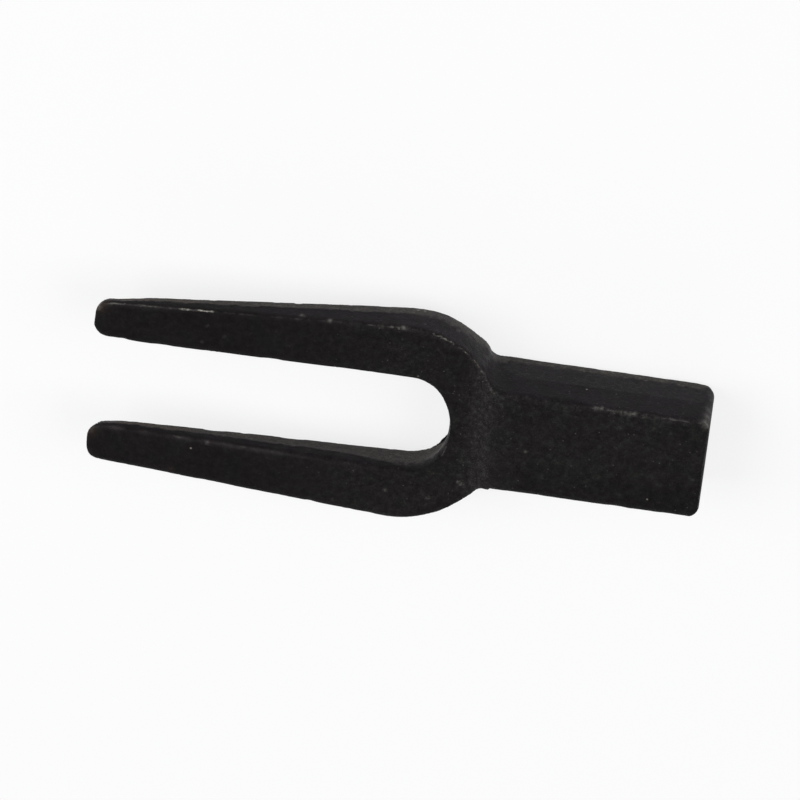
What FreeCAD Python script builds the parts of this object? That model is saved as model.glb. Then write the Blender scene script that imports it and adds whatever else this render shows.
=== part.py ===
import FreeCAD, Part
import math
import os
import Sketcher
from FreeCAD import Placement, Rotation, Vector

# Fork head of a ball joint separator: one drop-forged piece of blackened steel.
# A short rectangular shank carries a fork of two wedge-shaped tines. The head lies along X:
# the shank's end face is at X = 0 and the tips point to +X. Z = 0 is the middle of the shank.
# The fork's upper face is flat and parallel to the shank; its lower face climbs to the tips.
# The dies part along the middle of the wedge, and all walls lean in from there by the draft.

# Driving dimensions, in millimetres and degrees.
SIZES = {
    "overall_length": 135.4,
    # shank
    "shank_length": 48.8,
    "shank_width": 25.8,
    "shank_thickness": 16.8,
    "shank_corner_radius": 2.4,
    # fork seen from above, all at the parting line
    "neck_radius": 4.2,
    "fork_width": 50.0,
    "shoulder_radius": 21.6,
    "shoulder_reach": 18.3,
    "crotch_wall": 7.5,
    "jaw_root_width": 23.8,
    "jaw_mouth_width": 22.2,
    "crotch_radius": 15.3,
    "crotch_corner_radius": 8.0,
    "tip_width": 9.5,
    "tip_outer_radius": 3.6,
    "tip_inner_radius": 3.8,
    # fork seen from the side
    "fork_face_drop": 2.0,
    "root_thickness": 10.9,
    "tip_thickness": 2.9,
    "ramp_start": 45.8,
    "upper_ramp_length": 5.0,
    "lower_ramp_length": 13.0,
    # forging
    "forging_draft": 3.7,
    "rim_radius": 1.3,
    # socket for the driver's round end
    "driver_diameter": 12.0,
    "socket_clearance": 0.15,
    "socket_depth": 32.0,
    "drill_point_angle": 118.0,
    # mark left by the hardness test on the shank's upper face
    "dimple_radius": 1.1,
    "dimple_depth": 0.35,
    "dimple_from_end": 39.0,
    "dimple_offset": 1.5,
}

# Blanks and cuts run this far past where they end, into metal or air that another cut clears.
MARGIN = 4.0

# Two places this near each other are the same place.
SMALL = 0.001

# A face that tilts less than this from level is a broad face, and a steeper one is a wall.
BROAD_TILT = 60.0

# Sketcher's numbers for a curve's points, for the origin and for the axes.
START, END, CENTRE = 1, 2, 3
X_AXIS = -1
ORIGIN = (X_AXIS, START)

# Rules shared by several features, in the spreadsheet's names.
TINES = "(Sizes.overall_length - Sizes.shank_length)"
TILT = f"atan((Sizes.root_thickness - Sizes.tip_thickness) / 2 / {TINES})"
FORK_FACE = "(Sizes.shank_thickness / 2 - Sizes.fork_face_drop)"
# Two roundings have to fit on the tips' wall, with a strip left flat between them.
RIM = "min(Sizes.rim_radius; 0.45 * Sizes.tip_thickness)"

doc = FreeCAD.newDocument("BallJointSeparator")


def make_sheet():
    """Give every driving dimension a spreadsheet cell with its name as alias."""
    sheet = doc.addObject("Spreadsheet::Sheet", "Sizes")
    for row, (name, value) in enumerate(SIZES.items(), start=1):
        sheet.set(f"A{row}", name)
        sheet.set(f"B{row}", str(value))
        sheet.setAlias(f"B{row}", name)
    doc.recompute()


def new_sketch(body, name, role):
    """A sketch on one of the body's own origin planes."""
    sketch = body.newObject("Sketcher::SketchObject", name)
    plane = next(item for item in body.Origin.OriginFeatures if item.Role == role)
    sketch.AttachmentSupport = [(plane, "")]
    sketch.MapMode = "FlatFace"
    return sketch


def line(sketch, start, end):
    return sketch.addGeometry(Part.LineSegment(Vector(*start, 0), Vector(*end, 0)))


def arc(sketch, centre, radius, first_angle, last_angle):
    """An arc that runs anticlockwise from first_angle to last_angle, in degrees."""
    circle = Part.Circle(Vector(*centre, 0), Vector(0, 0, 1), radius)
    first, last = math.radians(first_angle), math.radians(last_angle)
    return sketch.addGeometry(Part.ArcOfCircle(circle, first, last))


def relate(sketch, kind, *elements):
    sketch.addConstraint(Sketcher.Constraint(kind, *elements))


def dimension(sketch, name, kind, elements, value, rule):
    """A named constraint that follows a rule written in the spreadsheet's names."""
    index = sketch.addConstraint(Sketcher.Constraint(kind, *elements, value))
    sketch.renameConstraint(index, name)
    sketch.setExpression(f"Constraints.{name}", rule)


def locate_x(sketch, name, element, point, value, rule):
    dimension(sketch, name, "DistanceX", (*ORIGIN, element, point), value, rule)


def locate_y(sketch, name, element, point, value, rule):
    dimension(sketch, name, "DistanceY", (*ORIGIN, element, point), value, rule)


class Twins:
    """An outline's element on the +Y side and its mirror image on the -Y side.

    enter and leave are the points where a walk along the outline, from the shank to the
    crotch, comes onto each of the two and goes off it.
    """

    def __init__(self, upper, lower, enter, leave, round_):
        self.upper, self.lower, self.round = upper, lower, round_
        self.enter, self.leave = enter, leave
        swap = {START: END, END: START}
        self.lower_enter = swap[enter] if round_ else enter
        self.lower_leave = swap[leave] if round_ else leave


def twin_lines(sketch, start, end):
    upper = line(sketch, start, end)
    lower = line(sketch, (start[0], -start[1]), (end[0], -end[1]))
    return Twins(upper, lower, START, END, False)


def twin_arcs(sketch, centre, radius, enter_angle, leave_angle):
    """Mirrored arcs; the upper one turns from enter_angle to leave_angle the short way."""
    first, last = sorted((enter_angle, leave_angle))
    upper = arc(sketch, centre, radius, first, last)
    lower = arc(sketch, (centre[0], -centre[1]), radius, -last, -first)
    forwards = enter_angle < leave_angle
    enter, leave = (START, END) if forwards else (END, START)
    return Twins(upper, lower, enter, leave, True)


def join_twins(sketch, walk):
    """Make a walk of twins one smooth line on the +Y side, mirrored on the -Y side."""
    for before, after in zip(walk, walk[1:]):
        relate(sketch, "Tangent", before.upper, before.leave, after.upper, after.enter)
        relate(sketch, "Coincident", before.lower, before.lower_leave,
               after.lower, after.lower_enter)
        relate(sketch, "Symmetric", before.upper, before.leave,
               before.lower, before.lower_leave, X_AXIS)
    for twins in walk:
        if twins.round:
            relate(sketch, "Equal", twins.upper, twins.lower)


def forging_outline(body):
    """Shank, shoulders, tines and crotch in one outline on the plane where the dies part.

    That plane halves the wedge of the fork. The sketch's origin is where the shank's length
    ends, and its X axis runs to the tips.
    """
    size = SIZES
    tines = size["overall_length"] - size["shank_length"]
    tilt = math.atan2((size["root_thickness"] - size["tip_thickness"]) / 2, tines)
    sketch = new_sketch(body, "ForgingOutline", "XY_Plane")
    sketch.AttachmentOffset = Placement(Vector(), Rotation(Vector(0, -1, 0), math.degrees(tilt)))
    sketch.setExpression("AttachmentOffset.Rotation.Angle", TILT)
    sketch.setExpression("AttachmentOffset.Base.x", "Sizes.shank_length")
    sketch.setExpression("AttachmentOffset.Base.z", f"{FORK_FACE} - Sizes.root_thickness / 2")

    # the sketch starts from the same geometry that its constraints describe
    back_x = -(size["shank_length"] + MARGIN) / math.cos(tilt)
    tip_x = tines / math.cos(tilt)
    shank_y = size["shank_width"] / 2
    mouth_y = size["jaw_mouth_width"] / 2
    root_y = size["jaw_root_width"] / 2

    shoulder = size["shoulder_radius"]
    shoulder_at = (size["shoulder_reach"], size["fork_width"] / 2 - shoulder)
    neck = size["neck_radius"]
    neck_rise = shank_y + neck - shoulder_at[1]
    neck_run = math.sqrt((shoulder + neck) ** 2 - neck_rise ** 2)
    neck_at = (shoulder_at[0] - neck_run, shank_y + neck)
    neck_angle = math.degrees(math.atan2(neck_rise, -neck_run))

    outer = size["tip_outer_radius"]
    outer_at = (tip_x - outer, mouth_y + size["tip_width"] - outer)
    inner = size["tip_inner_radius"]
    inner_at = (tip_x - inner, mouth_y + inner)
    run, rise = outer_at[0] - shoulder_at[0], outer_at[1] - shoulder_at[1]
    facing = math.atan2(rise, run) + math.acos((shoulder - outer) / math.hypot(run, rise))
    away = Vector(math.cos(facing), math.sin(facing), 0)
    outer_start = Vector(*shoulder_at, 0) + away * shoulder
    outer_end = Vector(*outer_at, 0) + away * outer
    facing = math.degrees(facing)

    crotch = size["crotch_radius"]
    crotch_at = (size["crotch_wall"] + crotch, 0)
    corner = size["crotch_corner_radius"]
    corner_run = math.sqrt((crotch - corner) ** 2 - (root_y - corner) ** 2)
    corner_at = (crotch_at[0] - corner_run, root_y - corner)
    corner_angle = math.degrees(math.atan2(corner_at[1], -corner_run))

    side = twin_lines(sketch, (back_x, shank_y), (neck_at[0], shank_y))
    neck_arc = twin_arcs(sketch, neck_at, neck, -90, neck_angle - 180)
    shoulder_arc = twin_arcs(sketch, shoulder_at, shoulder, neck_angle, facing)
    outer_line = twin_lines(sketch, outer_start[:2], outer_end[:2])
    outer_arc = twin_arcs(sketch, outer_at, outer, facing, 0)
    tip_line = twin_lines(sketch, (tip_x, outer_at[1]), (tip_x, inner_at[1]))
    inner_arc = twin_arcs(sketch, inner_at, inner, 0, -90)
    inner_line = twin_lines(sketch, (inner_at[0], mouth_y), (corner_at[0], root_y))
    corner_arc = twin_arcs(sketch, corner_at, corner, 90, corner_angle)
    walk = [side, neck_arc, shoulder_arc, outer_line, outer_arc]
    walk += [tip_line, inner_arc, inner_line, corner_arc]
    join_twins(sketch, walk)
    crotch_arc = arc(sketch, crotch_at, crotch, corner_angle, 360 - corner_angle)
    relate(sketch, "Tangent", corner_arc.upper, corner_arc.leave, crotch_arc, START)
    relate(sketch, "Coincident", corner_arc.lower, corner_arc.lower_leave, crotch_arc, END)
    relate(sketch, "Symmetric", crotch_arc, START, crotch_arc, END, X_AXIS)
    back = line(sketch, (back_x, -shank_y), (back_x, shank_y))
    relate(sketch, "Coincident", back, END, side.upper, START)
    relate(sketch, "Coincident", back, START, side.lower, START)
    relate(sketch, "Symmetric", back, START, back, END, X_AXIS)
    relate(sketch, "Horizontal", side.upper)
    relate(sketch, "Vertical", tip_line.upper)

    radii = [
        ("neck_radius", neck_arc, neck),
        ("shoulder_radius", shoulder_arc, shoulder),
        ("tip_outer_radius", outer_arc, outer),
        ("tip_inner_radius", inner_arc, inner),
        ("crotch_corner_radius", corner_arc, corner),
    ]
    for name, twins, radius in radii:
        dimension(sketch, name, "Radius", (twins.upper,), radius, f"Sizes.{name}")
    dimension(sketch, "crotch_radius", "Radius", (crotch_arc,), crotch, "Sizes.crotch_radius")
    dimension(sketch, "shank_width", "Distance", (back,), 2 * shank_y, "Sizes.shank_width")
    back_rule = f"-(Sizes.shank_length + {MARGIN}) / cos({TILT})"
    locate_x(sketch, "back_at", back, START, back_x, back_rule)
    tip_rule = f"{TINES} / cos({TILT})"
    locate_x(sketch, "tip_at", tip_line.upper, START, tip_x, tip_rule)
    reach_rule = "Sizes.shoulder_reach"
    locate_x(sketch, "shoulder_x", shoulder_arc.upper, CENTRE, shoulder_at[0], reach_rule)
    shoulder_rule = "Sizes.fork_width / 2 - Sizes.shoulder_radius"
    locate_y(sketch, "shoulder_y", shoulder_arc.upper, CENTRE, shoulder_at[1], shoulder_rule)
    outer_rule = "Sizes.jaw_mouth_width / 2 + Sizes.tip_width - Sizes.tip_outer_radius"
    locate_y(sketch, "tip_outer_y", outer_arc.upper, CENTRE, outer_at[1], outer_rule)
    inner_rule = "Sizes.jaw_mouth_width / 2 + Sizes.tip_inner_radius"
    locate_y(sketch, "tip_inner_y", inner_arc.upper, CENTRE, inner_at[1], inner_rule)
    root_rule = "Sizes.jaw_root_width / 2"
    locate_y(sketch, "root_y", corner_arc.upper, corner_arc.enter, root_y, root_rule)
    crotch_rule = "Sizes.crotch_wall + Sizes.crotch_radius"
    locate_x(sketch, "crotch_x", crotch_arc, CENTRE, crotch_at[0], crotch_rule)
    return sketch


def drafted_blank(body, sketch):
    """Raise the outline above and below the parting plane, leaning in by the draft."""
    pad = body.newObject("PartDesign::Pad", "DraftedBlank")
    pad.Profile = sketch
    pad.SideType = "Two sides"
    for length, taper in (("Length", "TaperAngle"), ("Length2", "TaperAngle2")):
        pad.setExpression(length, f"Sizes.shank_thickness / 2 + {MARGIN}")
        pad.setExpression(taper, "-Sizes.forging_draft * 1 deg")
    return pad


def die_face(body, name, side, depth, depth_rule, slope, slope_rule):
    """Cut one broad face: level along the shank, a soft ramp, then straight out past the tips.

    side is 1 for the upper face and -1 for the lower one. depth is how far the fork's face
    lies inside the shank's where the shank's length ends, and slope is how much further in
    it goes for each millimetre towards the tips.
    """
    size = SIZES
    ramp_name = "upper_ramp_length" if side > 0 else "lower_ramp_length"
    ramp = size[ramp_name]
    first = size["ramp_start"]
    last = first + ramp
    far = size["overall_length"] + MARGIN
    shank_z = side * size["shank_thickness"] / 2
    last_depth = depth + slope * (last - size["shank_length"])
    far_depth = depth + slope * (far - size["shank_length"])
    last_z = shank_z - side * last_depth
    far_z = shank_z - side * far_depth
    clear_z = side * (size["shank_thickness"] + 2 * MARGIN)
    radius = (ramp ** 2 + last_depth ** 2) / (4 * last_depth)
    turn = math.degrees(math.asin(ramp / 2 / radius))

    sketch = new_sketch(body, f"{name}Profile", "XZ_Plane")
    level = line(sketch, (-MARGIN, shank_z), (first, shank_z))
    if side > 0:
        convex = arc(sketch, (first, shank_z - radius), radius, 90 - turn, 90)
        concave = arc(sketch, (last, last_z + radius), radius, 270 - turn, 270)
        outer_end, inner_end = END, START
    else:
        convex = arc(sketch, (first, shank_z + radius), radius, 270, 270 + turn)
        concave = arc(sketch, (last, last_z - radius), radius, 90, 90 + turn)
        outer_end, inner_end = START, END
    face = line(sketch, (last, last_z), (far, far_z))
    far_line = line(sketch, (far, far_z), (far, clear_z))
    clear_line = line(sketch, (far, clear_z), (-MARGIN, clear_z))
    near_line = line(sketch, (-MARGIN, clear_z), (-MARGIN, shank_z))
    relate(sketch, "Tangent", level, END, convex, outer_end)
    relate(sketch, "Tangent", convex, inner_end, concave, inner_end)
    relate(sketch, "Tangent", concave, outer_end, face, START)
    relate(sketch, "Coincident", face, END, far_line, START)
    relate(sketch, "Coincident", far_line, END, clear_line, START)
    relate(sketch, "Coincident", clear_line, END, near_line, START)
    relate(sketch, "Coincident", near_line, END, level, START)
    relate(sketch, "Equal", convex, concave)
    for level_line in (level, clear_line):
        relate(sketch, "Horizontal", level_line)
    for upright in (far_line, near_line):
        relate(sketch, "Vertical", upright)

    def depth_at(place):
        return f"({depth_rule} + {slope_rule} * ({place} - Sizes.shank_length))"

    shank_rule = f"{side} * Sizes.shank_thickness / 2"
    last_rule = f"(Sizes.ramp_start + Sizes.{ramp_name})"
    far_rule = f"(Sizes.overall_length + {MARGIN})"
    clear_rule = f"{side} * (Sizes.shank_thickness + 2 * {MARGIN})"
    locate_x(sketch, "near_x", level, START, -MARGIN, f"-{MARGIN}")
    locate_y(sketch, "shank_z", level, START, shank_z, shank_rule)
    locate_x(sketch, "ramp_start_x", level, END, first, "Sizes.ramp_start")
    locate_x(sketch, "ramp_end_x", face, START, last, last_rule)
    ramp_end_rule = f"{shank_rule} - {side} * {depth_at(last_rule)}"
    locate_y(sketch, "ramp_end_z", face, START, last_z, ramp_end_rule)
    locate_x(sketch, "far_x", face, END, far, far_rule)
    locate_y(sketch, "far_z", face, END, far_z, f"{shank_rule} - {side} * {depth_at(far_rule)}")
    locate_y(sketch, "clear_z", clear_line, START, clear_z, clear_rule)
    return cut_through(body, sketch, name)


def cut_through(body, sketch, name):
    """Pocket a profile through the whole piece, to both sides of its plane."""
    cut = body.newObject("PartDesign::Pocket", name)
    cut.Profile = sketch
    cut.Type = "ThroughAll"
    cut.Midplane = True
    return cut


def square_end(body):
    """Cut the shank's end face flat and square to its length."""
    size = SIZES
    high = size["shank_thickness"]
    sketch = new_sketch(body, "SquareEndProfile", "XZ_Plane")
    face = line(sketch, (0, -high), (0, high))
    top = line(sketch, (0, high), (-3 * MARGIN, high))
    back = line(sketch, (-3 * MARGIN, high), (-3 * MARGIN, -high))
    bottom = line(sketch, (-3 * MARGIN, -high), (0, -high))
    for before, after in ((face, top), (top, back), (back, bottom), (bottom, face)):
        relate(sketch, "Coincident", before, END, after, START)
    for level_line in (top, bottom):
        relate(sketch, "Horizontal", level_line)
    relate(sketch, "Vertical", back)
    relate(sketch, "Symmetric", face, START, face, END, *ORIGIN)
    dimension(sketch, "half", "DistanceY", (*ORIGIN, face, END), high, "Sizes.shank_thickness")
    locate_x(sketch, "face_x", face, END, 0, "0")
    locate_x(sketch, "back_x", back, START, -3 * MARGIN, f"-3 * {MARGIN}")
    return cut_through(body, sketch, "SquareEnd")


def vertical_end_edges(shape):
    """The end face's two side edges, each in two stretches that meet at the parting line."""
    def upright(edge):
        box = edge.BoundBox
        return abs(edge.CenterOfMass.x) < SMALL and box.ZLength > box.YLength
    return [f"Edge{i}" for i, edge in enumerate(shape.Edges, start=1) if upright(edge)]


def rim_edges(shape):
    """Edges between a broad face, upper or lower, and a wall."""
    def is_broad(face):
        first_u, last_u, first_v, last_v = face.ParameterRange
        normal = face.normalAt((first_u + last_u) / 2, (first_v + last_v) / 2)
        return abs(normal.z) > math.cos(math.radians(BROAD_TILT))

    def is_rim(edge):
        faces = shape.ancestorsOfType(edge, Part.Face)
        return len({is_broad(face) for face in faces}) == 2
    return [f"Edge{i}" for i, edge in enumerate(shape.Edges, start=1) if is_rim(edge)]


def fillet(body, name, base, edges, rule):
    rounding = body.newObject("PartDesign::Fillet", name)
    rounding.Base = (base, edges)
    rounding.setExpression("Radius", rule)
    doc.recompute()
    return rounding


def driver_socket(body):
    """Blind round socket in the end face, drilled along the shank."""
    sketch = new_sketch(body, "SocketCentre", "YZ_Plane")
    radius = SIZES["driver_diameter"] / 2 + SIZES["socket_clearance"]
    radius_rule = "Sizes.driver_diameter / 2 + Sizes.socket_clearance"
    mouth = sketch.addGeometry(Part.Circle(Vector(), Vector(0, 0, 1), radius))
    relate(sketch, "Coincident", mouth, CENTRE, *ORIGIN)
    dimension(sketch, "radius", "Radius", (mouth,), radius, radius_rule)
    doc.recompute()
    hole = body.newObject("PartDesign::Hole", "DriverSocket")
    hole.Profile = sketch
    hole.Reversed = True
    hole.Threaded = False
    hole.DepthType = "Dimension"
    hole.DrillPoint = "Angled"
    hole.setExpression("Diameter", f"2 * ({radius_rule})")
    hole.setExpression("Depth", "Sizes.socket_depth")
    hole.setExpression("DrillPointAngle", "Sizes.drill_point_angle * 1 deg")
    return hole


def hardness_mark(body):
    """Shallow round dent that a ball leaves in the shank's upper face."""
    ball = body.newObject("PartDesign::SubtractiveSphere", "HardnessMark")
    plane = next(item for item in body.Origin.OriginFeatures if item.Role == "XY_Plane")
    ball.AttachmentSupport = [(plane, "")]
    ball.MapMode = "FlatFace"
    ball.setExpression("Radius", "Sizes.dimple_radius")
    ball.setExpression("AttachmentOffset.Base.x", "Sizes.dimple_from_end")
    ball.setExpression("AttachmentOffset.Base.y", "Sizes.dimple_offset")
    height = "Sizes.shank_thickness / 2 + Sizes.dimple_radius - Sizes.dimple_depth"
    ball.setExpression("AttachmentOffset.Base.z", height)
    return ball


def build_fork():
    size = SIZES
    body = doc.addObject("PartDesign::Body", "forged_fork")
    body.Label = "forged_fork"
    drafted_blank(body, forging_outline(body))
    drop = size["fork_face_drop"]
    climb = size["root_thickness"] - size["tip_thickness"]
    slope = climb / (size["overall_length"] - size["shank_length"])
    slope_rule = f"(Sizes.root_thickness - Sizes.tip_thickness) / {TINES}"
    die_face(body, "UpperFace", 1, drop, "Sizes.fork_face_drop", 0, "0")
    under = size["shank_thickness"] - drop - size["root_thickness"]
    under_rule = "(Sizes.shank_thickness - Sizes.fork_face_drop - Sizes.root_thickness)"
    die_face(body, "LowerFace", -1, under, under_rule, slope, slope_rule)
    squared = square_end(body)
    doc.recompute()
    edges = vertical_end_edges(squared.Shape)
    cornered = fillet(body, "EndCorners", squared, edges, "Sizes.shank_corner_radius")
    rims = rim_edges(cornered.Shape)
    rounded = fillet(body, "Rims", cornered, rims, RIM)
    socket = driver_socket(body)
    mark = hardness_mark(body)
    doc.recompute()
    volumes = [feature.Shape.Volume for feature in (squared, rounded, socket, mark)]
    if volumes != sorted(volumes, reverse=True) or len(set(volumes)) != len(volumes):
        raise RuntimeError(f"a rounding or a cut took no metal away: {volumes}")
    return body


def check(body):
    """Stop on any failed object, and on a shape that isn't one whole valid solid."""
    for item in doc.Objects:
        if "Invalid" in item.State or "Error" in item.State:
            raise RuntimeError(f"{item.Name} failed: {item.State}")
    shape = body.Shape
    if shape.isNull() or not shape.isValid() or len(shape.Solids) != 1:
        raise RuntimeError(f"{body.Label} isn't one valid solid")


make_sheet()
fork = build_fork()
check(fork)
os.makedirs("parts", exist_ok=True)
fork.Shape.exportStep(f"parts/{fork.Label}.step")
print(f"{fork.Label}: {fork.Shape.Volume:.0f} mm3")
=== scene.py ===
import math
import bmesh
import bpy
import numpy as np
from mathutils import Matrix, Vector
from mathutils.bvhtree import BVHTree


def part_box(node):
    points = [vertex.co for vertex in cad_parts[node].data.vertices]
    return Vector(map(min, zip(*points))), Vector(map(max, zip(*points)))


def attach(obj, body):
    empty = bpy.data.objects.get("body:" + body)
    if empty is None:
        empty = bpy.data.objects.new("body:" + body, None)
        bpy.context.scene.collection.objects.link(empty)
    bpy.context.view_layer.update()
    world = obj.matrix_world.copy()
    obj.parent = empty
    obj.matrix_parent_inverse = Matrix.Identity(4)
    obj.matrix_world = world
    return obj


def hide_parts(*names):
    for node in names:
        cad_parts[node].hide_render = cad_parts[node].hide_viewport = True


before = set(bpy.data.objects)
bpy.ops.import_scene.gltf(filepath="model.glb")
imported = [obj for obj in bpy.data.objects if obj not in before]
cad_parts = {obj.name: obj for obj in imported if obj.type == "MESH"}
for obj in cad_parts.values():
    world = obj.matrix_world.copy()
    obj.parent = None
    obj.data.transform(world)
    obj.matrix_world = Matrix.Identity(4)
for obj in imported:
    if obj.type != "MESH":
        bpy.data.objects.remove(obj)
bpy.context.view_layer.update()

# ---------------------------------------------------------------- sizes, in millimetres
# x runs from the shank's end to the tips, y across the fork, z up; the near side has y below 0
MM = 0.001
NODE = "forged_fork"
LOW, HIGH = (np.array(corner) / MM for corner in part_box(NODE))
LENGTH = HIGH[0]
TOP = HIGH[2]
BOTTOM = LOW[2]
DRAFT = math.tan(math.radians(3.7))    # slope of the walls, away from the parting plane
FORK_FACE = 6.4                        # height of the fork's flat upper face
ROOT_X = 48.8                          # where the tines' taper starts
ROOT_THICKNESS = 10.9
TIP_THICKNESS = 2.9
PARTING_SLOPE = 0.0462                 # rise of the parting plane per millimetre of x
SHANK_HALF = 12.9                      # half the shank's width
RAMP_START = 45.8                      # where both ramps leave the shank
UPPER_RAMP_END = 51.5
LOWER_RAMP_END = 58.8
SHANK_SEAM = 3.1                       # height of the seam above the shank's lower face
CROTCH_X = 53.0                        # walls beyond this x that face inwards are the jaw's
SOCKET_ZONE = 7.0                      # points this near the shank's axis are the socket's,
SOCKET_END = 37.0                      # up to this x
UNROLLED_ZONE = 7.2                    # and within this the end face stays as drawn
MOUTH_RADIUS = 6.2                     # of the socket, in the end face
VOXEL = 0.4
EDGE_RADIUS = 1.3                      # rounding of the shank's edges


# ---------------------------------------------------------------- seeded noise
def lattice(cells, seed):
    """Repeatable random numbers from 0 to 1 for whole-number cells."""
    c = cells.astype(np.int64)
    mixed = (c[..., 0] * 73856093) ^ (c[..., 1] * 19349663) ^ (c[..., 2] * 83492791)
    mixed = (mixed ^ (seed * 2654435761)) & 0xFFFFFFFF
    mixed = ((mixed ^ (mixed >> 15)) * 2246822519) & 0xFFFFFFFF
    mixed = ((mixed ^ (mixed >> 13)) * 3266489917) & 0xFFFFFFFF
    mixed ^= mixed >> 16
    return mixed / 4294967295.0


def noise(points, size, seed):
    """Smooth noise from -1 to 1 whose bumps are about size millimetres wide."""
    scaled = points / size
    corner = np.floor(scaled)
    f = scaled - corner
    f = f * f * f * (f * (f * 6 - 15) + 10)
    total = np.zeros(len(scaled))
    for dx in (0, 1):
        for dy in (0, 1):
            for dz in (0, 1):
                weight = (
                    (f[:, 0] if dx else 1 - f[:, 0])
                    * (f[:, 1] if dy else 1 - f[:, 1])
                    * (f[:, 2] if dz else 1 - f[:, 2])
                )
                total += weight * lattice(corner + np.array([dx, dy, dz]), seed)
    return total * 2 - 1


def layered(points, size, seed):
    """Three layers of noise, each half the size and half the height of the one before."""
    total = np.zeros(len(points))
    for i in range(3):
        total += noise(points, size / 2 ** i, seed + i) / 2 ** i
    return total / 1.75


# ---------------------------------------------------------------- soft masks
def rise(value, low, high):
    """0 below low and 1 above high, with a smooth step between."""
    t = np.clip((value - low) / (high - low), 0, 1)
    return t * t * (3 - 2 * t)


def fall(value, low, high):
    """1 below low and 0 above high, with a smooth step between."""
    return 1 - rise(value, low, high)


def hump(value, centre, width):
    """1 at the centre, fading to 0 about two widths from it."""
    return np.exp(-((value - centre) / width) ** 2)


# ---------------------------------------------------------------- the forging's mesh
def dense_copy(source):
    """Even mesh of the CAD solid, with every point and normal taken from its surface, in mm."""
    mesh = source.data.copy()
    bm = bmesh.new()
    bm.from_mesh(mesh)
    bmesh.ops.scale(bm, vec=(1 / MM, 1 / MM, 1 / MM), verts=bm.verts)
    bmesh.ops.remove_doubles(bm, verts=bm.verts, dist=0.002)
    bmesh.ops.recalc_face_normals(bm, faces=bm.faces)
    bm.normal_update()
    tree = BVHTree.FromBMesh(bm)
    bm.to_mesh(mesh)
    bm.free()
    mesh.materials.clear()
    obj = bpy.data.objects.new("remesh_source", mesh)
    bpy.context.scene.collection.objects.link(obj)
    remesh = obj.modifiers.new("even", "REMESH")
    remesh.mode = "VOXEL"
    remesh.voxel_size = VOXEL
    remesh.adaptivity = 0
    bpy.context.view_layer.update()
    made = bpy.data.meshes.new_from_object(obj.evaluated_get(bpy.context.evaluated_depsgraph_get()))
    bpy.data.objects.remove(obj)
    bpy.data.meshes.remove(mesh)
    count = len(made.vertices)
    co = np.zeros(count * 3)
    made.vertices.foreach_get("co", co)
    co = co.reshape(-1, 3)
    normals = np.zeros((count, 3))
    for i in range(count):
        place, normal, _, _ = tree.find_nearest(Vector(co[i]))
        co[i] = place
        normals[i] = normal
    return made, co, normals


def even_normals(mesh, co):
    """Smoothed normals of a mesh whose points are co."""
    mesh.vertices.foreach_set("co", co.ravel())
    mesh.update()
    found = np.zeros(len(mesh.vertices) * 3)
    mesh.vertex_normals.foreach_get("vector", found)
    return found.reshape(-1, 3)


mesh, co, cad_normals = dense_copy(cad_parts[NODE])
mesh.name = "ForgedForkMesh"

# where each point lies on the CAD solid, and which way the surface faces there
x, y, z = co.T.copy()
facing = cad_normals[:, 2].copy()
tilt = np.abs(facing)
flat = np.linalg.norm(cad_normals[:, :2], axis=1)
outward = cad_normals[:, :2] / np.maximum(flat, 1e-9)[:, None]
in_socket = (np.hypot(y, z) < SOCKET_ZONE) & (x < SOCKET_END)
on_shank = fall(x, 38.0, 46.0)
on_neck = fall(x, 40.0, 47.0)

# heights of the broad faces and of the plane where the dies part, at each point's x
taper = (TIP_THICKNESS - ROOT_THICKNESS) * (np.clip(x, 46, LENGTH) - ROOT_X) / (LENGTH - ROOT_X)
thick = ROOT_THICKNESS + taper
roof = TOP + (FORK_FACE - TOP) * rise(x, RAMP_START, UPPER_RAMP_END)
base = BOTTOM + (FORK_FACE - thick - BOTTOM) * rise(x, RAMP_START, LOWER_RAMP_END)
ROOT_PARTING = FORK_FACE - ROOT_THICKNESS / 2
parting = ROOT_PARTING + PARTING_SLOPE * (x - ROOT_X)


def spot(at_x, at_y, reach, at_z=None):
    """1 at a place on the fork, fading to almost 0 at reach millimetres from it."""
    square = (x - at_x) ** 2 + (y - at_y) ** 2
    if at_z is not None:
        square = square + (z - at_z) ** 2
    return np.exp(-square / reach ** 2 * 2.5)


def jaw_share():
    """1 on the walls inside the jaw, 0 on the fork's outer walls, and about 0.35 on the shank."""
    inwards = -outward[:, 1] * np.sign(y) * (x > CROTCH_X)
    inside = rise(inwards, -0.2, 0.3) * (np.abs(y) < 14)
    crotch = (x > CROTCH_X) & (x < 62) & (np.abs(y) < 13) & (outward[:, 0] > 0.3)
    return np.where(crotch, 1.0, inside)


def seam_height():
    """Height of the trimmed flash: low on the outer walls, above the middle inside the jaw."""
    outside_share = 0.42 + 0.08 * rise(x, 95.0, 110.0)
    inside_share = 0.55 + 0.18 * fall(x, 60.0, 90.0)
    share = outside_share + (inside_share - outside_share) * inside_jaw
    ragged = 0.45 * layered(co, 7.0, 7) + 0.25 * noise(co, 1.6, 9)
    seam_fork = base + share * (roof - base)
    seam_shank = base + SHANK_SEAM
    return seam_shank + (seam_fork - seam_shank) * rise(x, 44.0, 56.0) + ragged


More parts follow.
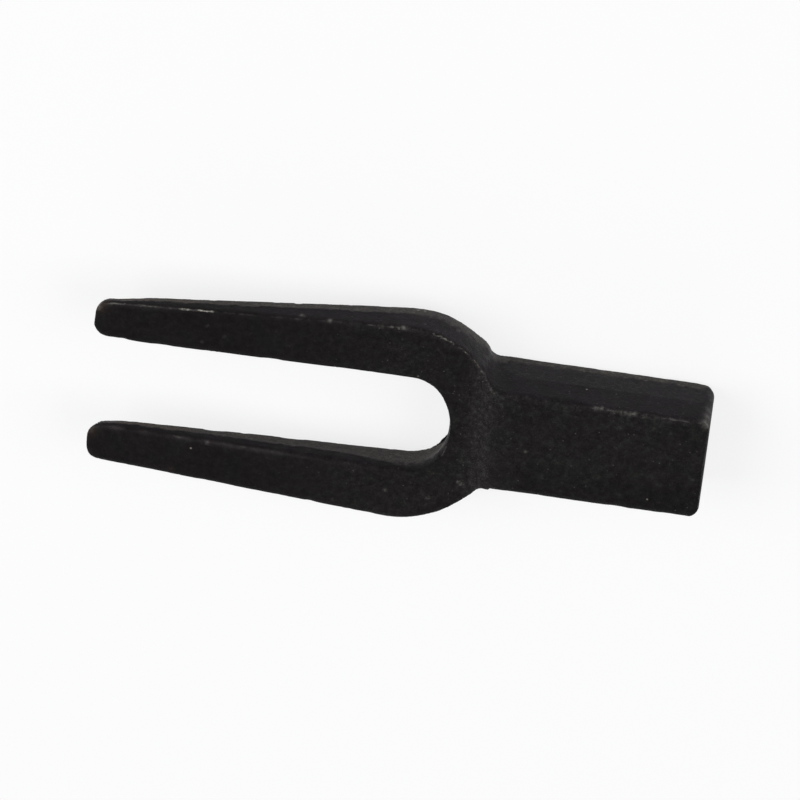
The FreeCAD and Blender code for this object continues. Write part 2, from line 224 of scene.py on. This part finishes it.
# how far the real walls stand off the drawn ones: x, y, reach, low on the wall, high on it
UNEVEN = (
    # near shoulder and neck
    (58.5, -24.0, 8.0, 0.30, 0.10),
    (53.0, -18.5, 5.0, -0.20, 0.0),
    (48.4, -13.0, 3.6, -0.55, -0.35),
    # far shoulder and neck
    (57.0, 23.0, 9.0, -0.35, -0.45),
    (52.0, 18.0, 6.0, 0.0, -0.35),
    (43.5, 12.6, 6.0, 0.0, 0.30),
    # the jaw's walls
    (58.0, 7.0, 8.0, -1.30, 0.0),
    (57.0, -6.0, 7.0, -0.3, 0.12),
    (64.0, -10.0, 8.0, 0.0, 0.15),
    (74.0, 12.0, 18.0, -0.20, 0.0),
    # near tip
    (131.0, -20.0, 7.0, -0.55, -0.10),
    (131.0, -12.0, 6.0, 0.0, -0.45),
    (134.8, -14.2, 2.5, 0.0, 0.25),
    (134.0, -11.6, 2.2, 0.18, 0.18),
    # far tip
    (133.5, 13.0, 6.0, -0.85, -0.1),
    (134.5, 20.0, 4.0, 0.0, -0.15),
    (134.2, 19.6, 2.4, 0.35, 0.30),
)


def unevenness():
    """How far each point of a wall stands off the drawn wall, in mm."""
    high = np.clip((z - base) / (roof - base), 0, 1)
    grow = 0.06 * rise(high, 0.3, 0.8) * fall(y, 15.0, 18.0)
    grow += 0.37 * (y < 0) * on_neck * (1 - high)
    grow += 0.12 * on_neck * high
    for at_x, at_y, reach, low_part, high_part in UNEVEN:
        stand_off = low_part + (high_part - low_part) * rise(high, 0.25, 0.8)
        grow = grow + spot(at_x, at_y, reach) * stand_off
    return grow


def wall_shift():
    """How far each point of a wall moves outwards, so that its crest lies at the trimmed seam."""
    roundness = 0.25 + 1.1 * fall(x, 58.0, 74.0)

    def past_crest(height):
        """Distance from the seam, rounded off over the crest."""
        return np.sqrt(np.clip(height, 0, None) ** 2 + roundness ** 2) - roundness

    drawn = -DRAFT * np.abs(z - parting)
    at_roof = -DRAFT * (roof - parting)
    at_base = -DRAFT * (parting - base)
    above = at_roof * np.clip(past_crest(z - seam) / past_crest(roof - seam), 0, 1)
    below = at_base * np.clip(past_crest(seam - z) / past_crest(seam - base), 0, 1)
    return (np.where(z > seam, above, below) - drawn + unevenness()) * drafted * rise(flat, 0.2, 0.8)


def rounded_shank(co):
    """Roll the shank's edges to a fuller radius than the CAD solid has, always inwards."""
    along, across, up = co.T
    wall = SHANK_HALF - DRAFT * np.abs(up - ROOT_PARTING)
    fade = fall(along, 38.0, 46.0)
    near_upper = rise(along, 25.0, 30.0) * (up > 0) * (across < 0)
    near_lower_corner = hump(along, 0.0, 3.0) * rise(-up, 0.0, 5.0) * rise(-across, 4.0, 10.0)
    radius = EDGE_RADIUS + (0.2 + 0.7 * near_upper) * fade
    radius += 0.9 * near_lower_corner
    depths = np.stack([along, wall - np.abs(across), np.minimum(TOP - up, up - BOTTOM)], 1)
    inner = np.maximum(radius[:, None] - depths, 0)
    length = np.linalg.norm(inner, axis=1)
    over = np.clip(length - radius, 0, None)
    around_socket = (np.hypot(across, up) < UNROLLED_ZONE) & (along < SOCKET_END)
    over[around_socket | (fade <= 0)] = 0
    away = inner / np.maximum(length, 1e-9)[:, None]
    signs = np.stack([-np.ones_like(along), np.sign(across), np.sign(up)], 1)
    return co - away * signs * over[:, None]


inside_jaw = jaw_share()
seam = seam_height()
drafted = rise(x, 0.3, 3.0)
drafted[in_socket] = 0
co[:, :2] += outward * wall_shift()[:, None]
co = rounded_shank(co)
normals = even_normals(mesh, co)

# ---------------------------------------------------------------- where the surface changes
wallness = fall(tilt, 0.25, 0.6)
wallness[in_socket] = 0
upper_ramp = (x > 45) * (x < 52) * (z > 5)
rim = hump(tilt, 0.70, 0.22)
rim[in_socket] = 0
rim *= 1 - 0.85 * rise(cad_normals[:, 0], 0.2, 0.5) * upper_ramp
upper_rim = rim * (facing > 0)
near_edge = rise(-outward[:, 1] * (y < -8), 0.1, 0.5)

# the forging's skin is coarse on the shank and the shoulders, and fine toward the tips; the neck's upper
# ramp counts as coarser still, which also makes it lighter: painted light
on_ramp = hump(x, 48.6, 3.4) * rise(facing, 0.5, 0.72) * (1 + 2.4 * (1 - facing))
coarse = 1 - 0.85 * rise(x, 62.0, 104.0) + 0.5 * on_ramp


def below_seam():
    """1 on the band below the trimmed seam, with an edge that is softest at the shoulders."""
    blur = 0.9 - 0.55 * rise(x, 60.0, 76.0) + 1.1 * hump(x, 57.0, 7.0)
    limit = seam + 0.8 * noise(co, 0.9, 161) * blur
    band = rise(limit - z, -blur / 3, blur) * wallness * drafted
    # the shader paints this band lighter, as painted reflection of the bright floor; it is weaker on the
    # tines' outer stretch and inside the jaw
    outer_stretch = rise(x, 70.0, 80.0) * fall(x, 116.0, 124.0) * (1 - inside_jaw)
    return band * (1 - 0.20 * outer_stretch - 0.30 * inside_jaw * rise(x, 64.0, 72.0))


# ---------------------------------------------------------------- scale, knocks and dents
# dents along the jaw's far rim, and the crease at its corner: x, y, reach, depth
RIM_DENTS = (
    (81.3, 12.3, 1.5, 0.30),
    (90.2, 12.5, 1.3, 0.25),
    (73.6, 12.2, 1.6, 0.25),
    (57.6, 7.4, 1.3, 0.45),
    (78.0, 12.2, 1.0, 0.2),
    (86.0, 12.4, 1.0, 0.2),
)
DENT_HEIGHT = 5.9


def surface_depth():
    """How far each point sinks into the surface, in mm."""
    # forging scale: broad unevenness, then finer bumps
    bumps = 0.022 * layered(co, 2.6, 21) + 0.014 * noise(co, 1.1, 31)
    depth = 0.045 * layered(co, 9.0, 11) + bumps * coarse
    # shallow dents left by scale that the dies pressed in
    depth += np.clip(noise(co, 1.9, 41) - 0.60, 0, None) * 0.22 * coarse
    depth += np.clip(noise(co, 4.2, 51) - 0.5, 0, None) * 0.15
    # edges a little crisper than drawn, with knocks along them
    knocks = np.clip(noise(co, 2.3, 61) - 0.45, 0, None) * 0.30
    knocks += np.clip(noise(co, 6.0, 71) - 0.40, 0, None) * 0.30
    soft_stretch = (0.5 + 0.5 * rise(x, 20.0, 30.0)) * fall(x, 44.0, 50.0) * (z > 0) * (y < 0)
    depth += rim * (knocks - 0.18 * (1 - soft_stretch))
    for at_x, at_y, reach, deep in RIM_DENTS:
        depth += deep * spot(at_x, at_y, reach, DENT_HEIGHT)
    # rough crest where the flash was trimmed off
    crest_line = hump(z, seam, 0.38) * wallness * drafted * rise(x, 60.0, 74.0)
    depth -= crest_line * (0.05 + 0.05 * noise(co, 1.5, 91))
    depth[in_socket] *= 0.15
    return depth


under_seam = below_seam()
co = co - normals * surface_depth()[:, None]
co = np.clip(co, LOW, HIGH)

# ---------------------------------------------------------------- wear, rust and tone
# share of bare metal along the near upper edge: x, share
EDGE_WEAR = (
    # shank
    (0, 0.06), (3, 0.08), (9, 0.05), (14, 0.06), (17, 0.08), (19, 0.07), (22, 0.06), (23, 0.07),
    (25, 0.05), (26.5, 0.0),
    # shoulder and tine
    (47, 0.0), (50, 0.12), (53, 0.32), (60, 0.22), (66, 0.06), (75, 0.05), (80, 0.02), (95, 0.02),
    # the bright worn stretch, and the tip
    (109.4, 0.02), (110.5, 0.95), (112, 1.0), (115, 0.8), (117, 0.45), (118.5, 0.07),
    (131, 0.10), (134, 0.02),
)
# single knocks that show metal: x, y, z, reach, strength
KNOCKS = (
    # near tine's rim, and its tip
    (90.5, -23.5, 5.2, 0.8, 0.30), (84.3, -23.4, 5.8, 0.6, 0.20), (73.0, -24.2, 5.8, 0.7, 0.22),
    (68.2, -24.3, 5.8, 0.7, 0.25), (66.1, -24.8, -1.4, 0.7, 0.40), (64.6, -24.8, -1.4, 0.6, 0.35),
    (134.7, -18.7, 5.5, 1.0, 0.45),
    # near tine's upper face
    (110.6, -18.1, 6.4, 0.5, 0.05), (106.9, -16.0, 6.4, 0.5, 0.06), (111.6, -13.9, 6.4, 0.5, 0.05),
    # the shank's end corner, from the top down, partly worn metal and partly a painted highlight down the
    # rounded edge
    (0.7, -11.9, 7.2, 1.6, 0.26), (0.5, -12.0, 6.0, 1.4, 0.14), (0.5, -12.1, 4.8, 1.7, 0.17),
    (0.5, -12.2, 2.2, 1.7, 0.09),
    # the shank's near upper edge
    (28.5, -12.9, 7.9, 0.5, 0.10), (24.9, -12.5, 8.1, 0.7, 0.40), (23.6, -12.6, 8.0, 0.8, 0.34),
    (22.2, -12.4, 8.1, 0.5, 0.15), (21.0, -12.0, 8.2, 0.8, 0.10), (20.2, -12.3, 8.1, 0.6, 0.16),
    (19.3, -12.0, 8.2, 0.8, 0.10), (18.4, -12.3, 8.1, 0.7, 0.17), (17.5, -12.0, 8.2, 0.8, 0.08),
    (16.6, -12.2, 8.1, 0.7, 0.15), (14.2, -12.2, 8.1, 0.6, 0.10), (12.0, -12.1, 8.1, 0.6, 0.09),
    # the middle of the shank's upper face, and the crotch's corner, where a large bare patch is partly
    # worn metal and partly painted light on a corner that faces the shaded floor
    (39.0, 1.35, 8.2, 0.55, 0.22), (57.3, 6.4, 0.8, 3.0, 0.28),
    # far shoulder and far tine
    (52.9, 12.7, 6.4, 0.45, 0.22), (52.2, 13.2, 6.4, 0.45, 0.22), (51.5, 13.0, 6.4, 0.4, 0.14),
    (79.8, 22.1, 6.4, 0.5, 0.12), (59.1, 18.1, 6.4, 0.6, 0.16), (68.6, 17.6, 6.4, 0.5, 0.12),
    (108.5, 12.0, 6.3, 0.6, 0.12),
)
# rust at the tips' corners and on the far tine: strength, x, y, reach, z
RUST_SPOTS = (
    (0.8, 134.8, -19.5, 3.0, 5.0),
    (0.6, 134.8, 13.0, 2.6, 5.4),
    (0.6, 134.9, 19.5, 2.4, 4.6),
    (0.3, 116.1, 20.1, 1.0, 6.2),
)


def edge_wear():
    """Bare metal along the near upper edge, and here and there on the other edges."""
    places, shares = zip(*EDGE_WEAR)
    uneven = np.clip(1.0 + 1.8 * noise(co, 1.2, 111), 0.4 * (x > 109), 1.8)
    elsewhere = rise(layered(co, 5.0, 101), 0.15, 0.55) * 0.16
    wear = (near_edge * np.interp(x, places, shares) + (1 - near_edge) * elsewhere) * uneven
    wear[in_socket] = 0
    return wear


def bare_dots():
    """Single knocks that show metal, and the rubbed mouth of the socket."""
    bare = np.zeros(len(co))
    for at_x, at_y, at_z, reach, strength in KNOCKS:
        bare = np.maximum(bare, strength * spot(at_x, at_y, reach, at_z))
    mouth = hump(np.hypot(y, z), MOUTH_RADIUS, 0.35) * hump(x, 0.0, 0.45)
    return np.maximum(bare, 0.25 * mouth * np.clip(0.7 + 1.2 * noise(co, 2.0, 151), 0, 1))


def rust_share():
    """The tips' corners and the jaw's lower edge rub bare and rust a little."""
    share = np.zeros(len(co))
    for strength, at_x, at_y, reach, at_z in RUST_SPOTS:
        share += strength * spot(at_x, at_y, reach, at_z)
    share += 0.55 * under_seam * rise(x, 106.0, 118.0)
    share += 0.25 * under_seam * rise(layered(co, 3.0, 121), 0.1, 0.5)
    return np.clip(share, 0, 1)


def painted_light_and_oxide_tone():
    """How light the oxide is, where 1 is its own colour, with painted highlights on the rims, painted
    light on the neck's ramp and painted shade on the walls inside the jaw.
    """
    # coarser skin is a little lighter; the ramp at the neck is painted lighter, more where it leans
    # further: painted light
    tone_and_painted_light = 0.76 + 0.29 * coarse + 0.50 * on_ramp
    # rims and the stretch of wall just below them catch the light
    tone_and_painted_light += (0.5 + 0.5 * (x > 49)) * upper_rim * near_edge * coarse
    tone_and_painted_light += 0.9 * hump(facing, 0.45, 0.2) * near_edge * (1 - 0.8 * rise(x, 20.0, 28.0)) * (x < 49)
    tone_and_painted_light += 0.9 * upper_rim * near_edge * rise(x, 112.0, 119.0)
    far_rim = upper_rim * inside_jaw * (y > 0) * rise(x, 58.0, 100.0)
    tone_and_painted_light += 2.0 * far_rim * (0.7 + 0.6 * noise(co, 3.0, 171))
    # walls above the seam, a little lighter outside the jaw and darker inside it, where the darkening is
    # painted shade from the jaw's shadowed floor; and the near shoulder's wall
    tone_and_painted_light += (0.04 - 0.08 * inside_jaw) * wallness * (1 - under_seam)
    tone_and_painted_light += 0.35 * near_edge * wallness * rise(x, 53.0, 57.0) * fall(x, 66.0, 74.0)
    # the far side of the shank, its end, and the fork's upper face at the root are darker
    tone_and_painted_light -= 0.24 * rise(y, 3.0, 7.0) * on_shank + 0.08 * fall(x, 5.0, 14.0)
    tone_and_painted_light -= 0.12 * (facing > 0.5) * fall(x, 75.0, 95.0) * rise(x, 50.0, 54.0) * (y < 12)
    return tone_and_painted_light * (1 + 0.14 * layered(co, 5.0, 131) + 0.18 * layered(co, 1.6, 141))


mesh.vertices.foreach_set("co", (co * MM).ravel())
mesh.polygons.foreach_set("use_smooth", np.ones(len(mesh.polygons), bool))
painted = {
    "wear": edge_wear(),
    "scuff": bare_dots(),
    "rusty": rust_share(),
    "under_seam": under_seam,
    "tone_and_painted_light": painted_light_and_oxide_tone(),
    "coarse": coarse,
    "facing": facing,
}
for name, values in painted.items():
    layer = mesh.attributes.new(name, "FLOAT", "POINT")
    layer.data.foreach_set("value", values.astype(np.float32))
mesh.update()

fork = bpy.data.objects.new("ForgedFork", mesh)
bpy.context.scene.collection.objects.link(fork)


# ---------------------------------------------------------------- shader nodes
def new_material(name):
    made = bpy.data.materials.new(name)
    made.use_nodes = True
    tree = made.node_tree
    tree.nodes.clear()
    return made, tree


def node(tree, kind, inputs=None, **settings):
    """A shader node with those settings, and with those values on its inputs."""
    made = tree.nodes.new(kind)
    for key, value in settings.items():
        setattr(made, key, value)
    for name, value in (inputs or {}).items():
        made.inputs[name].default_value = value
    return made


def feed(tree, value, socket):
    """Link a socket to an input, or set a plain number or colour on it."""
    if hasattr(value, "links"):
        tree.links.new(value, socket)
    elif isinstance(value, tuple):
        socket.default_value = (*value, 1)
    else:
        socket.default_value = value


def ramp(tree, source, stops):
    """Colour ramp with (place, value or colour) stops."""
    made = node(tree, "ShaderNodeValToRGB")
    tree.links.new(source, made.inputs["Fac"])
    elements = made.color_ramp.elements
    while len(elements) > 1:
        elements.remove(elements[0])
    for i, (place, value) in enumerate(stops):
        stop = elements[0] if i == 0 else elements.new(place)
        stop.position = place
        stop.color = (*value, 1) if isinstance(value, tuple) else (value, value, value, 1)
    return made.outputs["Color"]


def mix(tree, factor, first, second, blend="MIX"):
    """Mix two colours."""
    made = node(tree, "ShaderNodeMix", data_type="RGBA", blend_type=blend)
    factor_input, first_input, second_input = (made.inputs[i] for i in (0, 6, 7))
    feed(tree, factor, factor_input)
    feed(tree, first, first_input)
    feed(tree, second, second_input)
    return made.outputs[2]


def calc(tree, operation, first, second):
    """A sum, product or other operation on two values."""
    made = node(tree, "ShaderNodeMath", operation=operation)
    feed(tree, first, made.inputs[0])
    feed(tree, second, made.inputs[1])
    return made.outputs[0]


def times(tree, first, second):
    return calc(tree, "MULTIPLY", first, second)


def plus(tree, first, second):
    return calc(tree, "ADD", first, second)


def pattern(tree, coords, size, detail, roughness=0.6):
    """Noise whose features are about size millimetres wide."""
    inputs = {"Scale": 1 / (size * MM), "Detail": detail, "Roughness": roughness}
    made = node(tree, "ShaderNodeTexNoise", inputs)
    tree.links.new(coords, made.inputs["Vector"])
    return made.outputs["Fac"]


def stored(tree, name):
    """A value painted on the mesh's points."""
    return node(tree, "ShaderNodeAttribute", attribute_name=name).outputs["Fac"]


def specks(tree, coords, pitch, size, share, seed):
    """Scattered dots on a pitch in mm, with that share of the cells filled."""
    shifted = node(tree, "ShaderNodeVectorMath", operation="ADD")
    tree.links.new(coords, shifted.inputs[0])
    shifted.inputs[1].default_value = (seed * 0.37, seed * 0.71, seed * 0.13)
    cells = node(tree, "ShaderNodeTexVoronoi", {"Scale": 1 / (pitch * MM)})
    tree.links.new(shifted.outputs[0], cells.inputs["Vector"])
    dot = ramp(tree, cells.outputs["Distance"], [(size * 0.6, 1.0), (size, 0.0)])
    chosen = node(tree, "ShaderNodeSeparateColor")
    tree.links.new(cells.outputs["Color"], chosen.inputs[0])
    picked = ramp(tree, chosen.outputs[0], [(1 - share, 0.0), (1 - share * 0.4, 1.0)])
    return times(tree, dot, picked)


# ---------------------------------------------------------------- blackened steel
OXIDE_WARM = (0.0090, 0.0073, 0.0080)
OXIDE_COOL = (0.0096, 0.0081, 0.0090)
# lighter, bluer oxide for the walls: painted light
OXIDE_PAINTED_WALL_LIGHT = (0.0107, 0.0083, 0.0105)
OXIDE_OLIVE = (0.0096, 0.0098, 0.0082)
FINE_SCALE = (0.040, 0.037, 0.037)
# lighter colours and tint of the band below the trimmed seam: painted reflection of the bright floor
REFLECTED_BAND_STOPS = [
    (0.40, (0.022, 0.020, 0.018)),
    (0.49, (0.047, 0.043, 0.039)),
    (0.56, (0.080, 0.075, 0.065)),
    (0.64, (0.14, 0.13, 0.115)),
]
REFLECTED_BAND_TINT = (0.050, 0.040, 0.044)
SMALL_CHIP = (0.070, 0.065, 0.062)
LARGE_CHIP = (0.28, 0.26, 0.22)
STEEL_DULL = (0.50, 0.47, 0.41)
STEEL_BRIGHT = (0.62, 0.59, 0.53)
RUST = (0.085, 0.056, 0.040)


def oxide(tree, coords, mottle, fine, coarse):
    """Near black, a little warmer and cooler in patches, with the grain of the forging scale; the walls
    are painted lighter and bluer, which is painted light.
    """
    broad = pattern(tree, coords, 14.0, 3.0)
    colour = ramp(tree, broad, [(0.35, OXIDE_WARM), (0.65, OXIDE_COOL)])
    # walls, found by which way they face, get the lighter, bluer oxide: painted light
    painted_wall_light = ramp(tree, stored(tree, "facing"), [(0.1, 1.0), (0.5, 0.0)])
    colour = mix(tree, painted_wall_light, colour, OXIDE_PAINTED_WALL_LIGHT)
    olive = ramp(tree, pattern(tree, coords, 7.0, 2.0), [(0.50, 0.0), (0.62, 1.0)])
    colour = mix(tree, times(tree, olive, 0.35), colour, OXIDE_OLIVE)
    # the grain is fainter toward the tips
    speckle_stops = [(0.36, 0.48), (0.50, 0.90), (0.62, (1.62, 1.85, 1.70)), (0.72, (3.0, 3.6, 3.2))]
    grained = mix(tree, 1.0, colour, ramp(tree, mottle, speckle_stops), "MULTIPLY")
    colour = mix(tree, plus(tree, times(tree, coarse, 0.7), 0.2), colour, grained)
    lifted = plus(tree, fine, times(tree, coarse, 0.06))
    soft = ramp(tree, lifted, [(0.66, 0.0), (0.74, 1.0)])
    colour = mix(tree, times(tree, soft, 0.6), colour, FINE_SCALE)
    # the stored tone brings painted highlights, painted light and painted shade, along with the oxide's
    # own lightness
    lightness = node(tree, "ShaderNodeCombineColor")
    for index in range(3):
        tree.links.new(stored(tree, "tone_and_painted_light"), lightness.inputs[index])
    return mix(tree, 1.0, colour, lightness.outputs[0], "MULTIPLY")


def with_reflected_band(tree, colour, mottle, blotch, fine):
    """Add the band below the trimmed seam, painted lighter: painted reflection of the bright floor in the
    downward-facing lower walls.
    """
    rough_grain = plus(tree, times(tree, mottle, 0.55), times(tree, fine, 0.45))
    band = ramp(tree, rough_grain, REFLECTED_BAND_STOPS)
    tinted = ramp(tree, blotch, [(0.42, 0.0), (0.60, 0.45)])
    band = mix(tree, tinted, band, REFLECTED_BAND_TINT)
    patchy = ramp(tree, mottle, [(0.40, 0.60), (0.52, 0.98)])
    return mix(tree, times(tree, stored(tree, "under_seam"), patchy), colour, band)


def with_chips(tree, colour, coords, coarse):
    """Add small chips where the skin is coarse, and a few large ones anywhere."""
    small = times(tree, specks(tree, coords, 1.25, 0.13, 0.55, 1), coarse)
    colour = mix(tree, times(tree, small, 0.9), colour, SMALL_CHIP)
    large = specks(tree, coords, 5.3, 0.055, 0.35, 2)
    return mix(tree, times(tree, large, 0.9), colour, LARGE_CHIP)


def bare_share(tree, mottle):
    """Where steel shows on worn edges and knocks, broken up by the grain."""
    edge = ramp(tree, stored(tree, "facing"), [(0.59, 0.0), (0.67, 1.0), (0.74, 1.0), (0.83, 0.0)])
    broken = ramp(tree, mottle, [(0.42, 0.15), (0.56, 1.0)])
    worn = times(tree, stored(tree, "wear"), edge)
    return times(tree, calc(tree, "MAXIMUM", worn, stored(tree, "scuff")), broken)


def with_rust(tree, colour, coords):
    """Add a brown tint where the tips and the jaw rub."""
    grain = pattern(tree, coords, 0.75, 3.0, 0.65)
    rust = times(tree, stored(tree, "rusty"), ramp(tree, grain, [(0.38, 0.25), (0.6, 1.0)]))
    return mix(tree, times(tree, rust, 0.7), colour, RUST)


def blackened_steel():
    made, tree = new_material("BlackenedSteel")
    coords = node(tree, "ShaderNodeTexCoord").outputs["Object"]
    out = node(tree, "ShaderNodeOutputMaterial")
    shader = node(tree, "ShaderNodeBsdfPrincipled", {"IOR": 1.5, "Specular IOR Level": 0.06})
    tree.links.new(shader.outputs[0], out.inputs[0])
    mottle = pattern(tree, coords, 1.3, 5.0, 0.75)
    blotch = pattern(tree, coords, 3.2, 4.0, 0.65)
    fine = pattern(tree, coords, 0.30, 3.0, 0.7)
    coarse = stored(tree, "coarse")

    colour = oxide(tree, coords, mottle, fine, coarse)
    colour = with_reflected_band(tree, colour, mottle, blotch, fine)
    colour = with_chips(tree, colour, coords, coarse)
    bare = bare_share(tree, mottle)
    steel = ramp(tree, blotch, [(0.35, STEEL_DULL), (0.65, STEEL_BRIGHT)])
    colour = mix(tree, bare, colour, steel)
    colour = with_rust(tree, colour, coords)
    tree.links.new(colour, shader.inputs["Base Color"])
    tree.links.new(times(tree, bare, 0.6), shader.inputs["Metallic"])
    rough = ramp(tree, mottle, [(0.38, 0.36), (0.50, 0.48), (0.62, 0.64)])
    tree.links.new(rough, shader.inputs["Roughness"])

    height = plus(tree, times(tree, mottle, 0.8), times(tree, fine, 0.4))
    height = times(tree, height, plus(tree, times(tree, coarse, 0.7), 0.3))
    bump = node(tree, "ShaderNodeBump", {"Strength": 0.9, "Distance": 0.30 * MM})
    tree.links.new(height, bump.inputs["Height"])
    tree.links.new(bump.outputs["Normal"], shader.inputs["Normal"])
    return made


fork.data.materials.append(blackened_steel())
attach(fork, "root")
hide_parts(NODE)

# ---------------------------------------------------------------- floor
FLOOR_REACH = 4.0                      # metres from the middle to a side
FLOOR_GAP = 0.02                       # millimetres that the floor lies below the shank
FLOOR_WHITE = 0.98                     # strength of the plain white that the camera sees,
WHITE_SHARE = 0.8                      # and its share against the floor's lit surface and shadow


def studio_floor():
    made, tree = new_material("PaleFloor")
    out = node(tree, "ShaderNodeOutputMaterial")
    pale = {"Base Color": (0.90, 0.90, 0.90, 1), "Roughness": 0.9, "Specular IOR Level": 0.0}
    shader = node(tree, "ShaderNodeBsdfPrincipled", pale)
    glow = node(tree, "ShaderNodeEmission", {"Color": (1, 1, 1, 1), "Strength": FLOOR_WHITE})
    # the camera, and metal and glass, see the floor as nearly white
    ray = node(tree, "ShaderNodeLightPath").outputs
    seen = calc(tree, "MAXIMUM", ray["Is Camera Ray"], ray["Is Glossy Ray"])
    seen = calc(tree, "MAXIMUM", seen, ray["Is Transmission Ray"])
    both = node(tree, "ShaderNodeMixShader")
    tree.links.new(times(tree, seen, WHITE_SHARE), both.inputs[0])
    tree.links.new(shader.outputs[0], both.inputs[1])
    tree.links.new(glow.outputs[0], both.inputs[2])
    tree.links.new(both.outputs[0], out.inputs[0])
    return made


floor_mesh = bpy.data.meshes.new("FloorMesh")
level = (BOTTOM - FLOOR_GAP) * MM
corners = [(sx * FLOOR_REACH, sy * FLOOR_REACH, level) for sx, sy in ((-1, -1), (1, -1), (1, 1), (-1, 1))]
floor_mesh.from_pydata(corners, [], [(0, 1, 2, 3)])
floor_mesh.materials.append(studio_floor())
floor = bpy.data.objects.new("StudioFloor", floor_mesh)
bpy.context.scene.collection.objects.link(floor)

# ---------------------------------------------------------------- light
LIGHT_AIM = Vector((0.07, 0, 0))


def soft_light(name, place, size, power):
    data = bpy.data.lights.new(name, "AREA")
    data.shape = "RECTANGLE"
    data.size, data.size_y = size
    data.energy = power
    lamp = bpy.data.objects.new(name, data)
    lamp.location = place
    lamp.rotation_mode = "QUATERNION"
    lamp.rotation_quaternion = (LIGHT_AIM - Vector(place)).to_track_quat("-Z", "Y")
    bpy.context.scene.collection.objects.link(lamp)


world = bpy.data.worlds.new("StudioWorld")
bpy.context.scene.world = world
world.use_nodes = True
background = world.node_tree.nodes["Background"]
background.inputs["Color"].default_value = (0.95, 0.97, 1.0, 1)
background.inputs["Strength"].default_value = 0.22
soft_light("LeftLight", (1.0, -0.25, 1.0), (1.1, 1.1), 14.0)
soft_light("RightLight", (-0.9, -0.35, 1.0), (1.1, 1.1), 12.2)
soft_light("BackLight", (0.2, 1.30, 0.45), (1.2, 0.7), 4.0)

# ---------------------------------------------------------------- camera
EYE = Vector((-0.00257, -0.69158, 1.07160))
AIM = Vector((0.067845, -0.002073, 0.0))     # what lies in the middle of the picture
ROLL = math.radians(-167.019)                # the shank points right in the picture

lens = bpy.data.cameras.new("Camera")
lens.sensor_width = 36.0
lens.lens = 262.7685
lens.clip_start = 0.05
lens.clip_end = 50.0
camera = bpy.data.objects.new("Camera", lens)
bpy.context.scene.collection.objects.link(camera)
level_turn = (AIM - EYE).to_track_quat("-Z", "Y").to_matrix().to_4x4()
camera.matrix_world = Matrix.Translation(EYE) @ level_turn @ Matrix.Rotation(ROLL, 4, "Z")
bpy.context.scene.camera = camera
bpy.context.scene.view_settings.view_transform = "Standard"

bpy.context.view_layer.update()
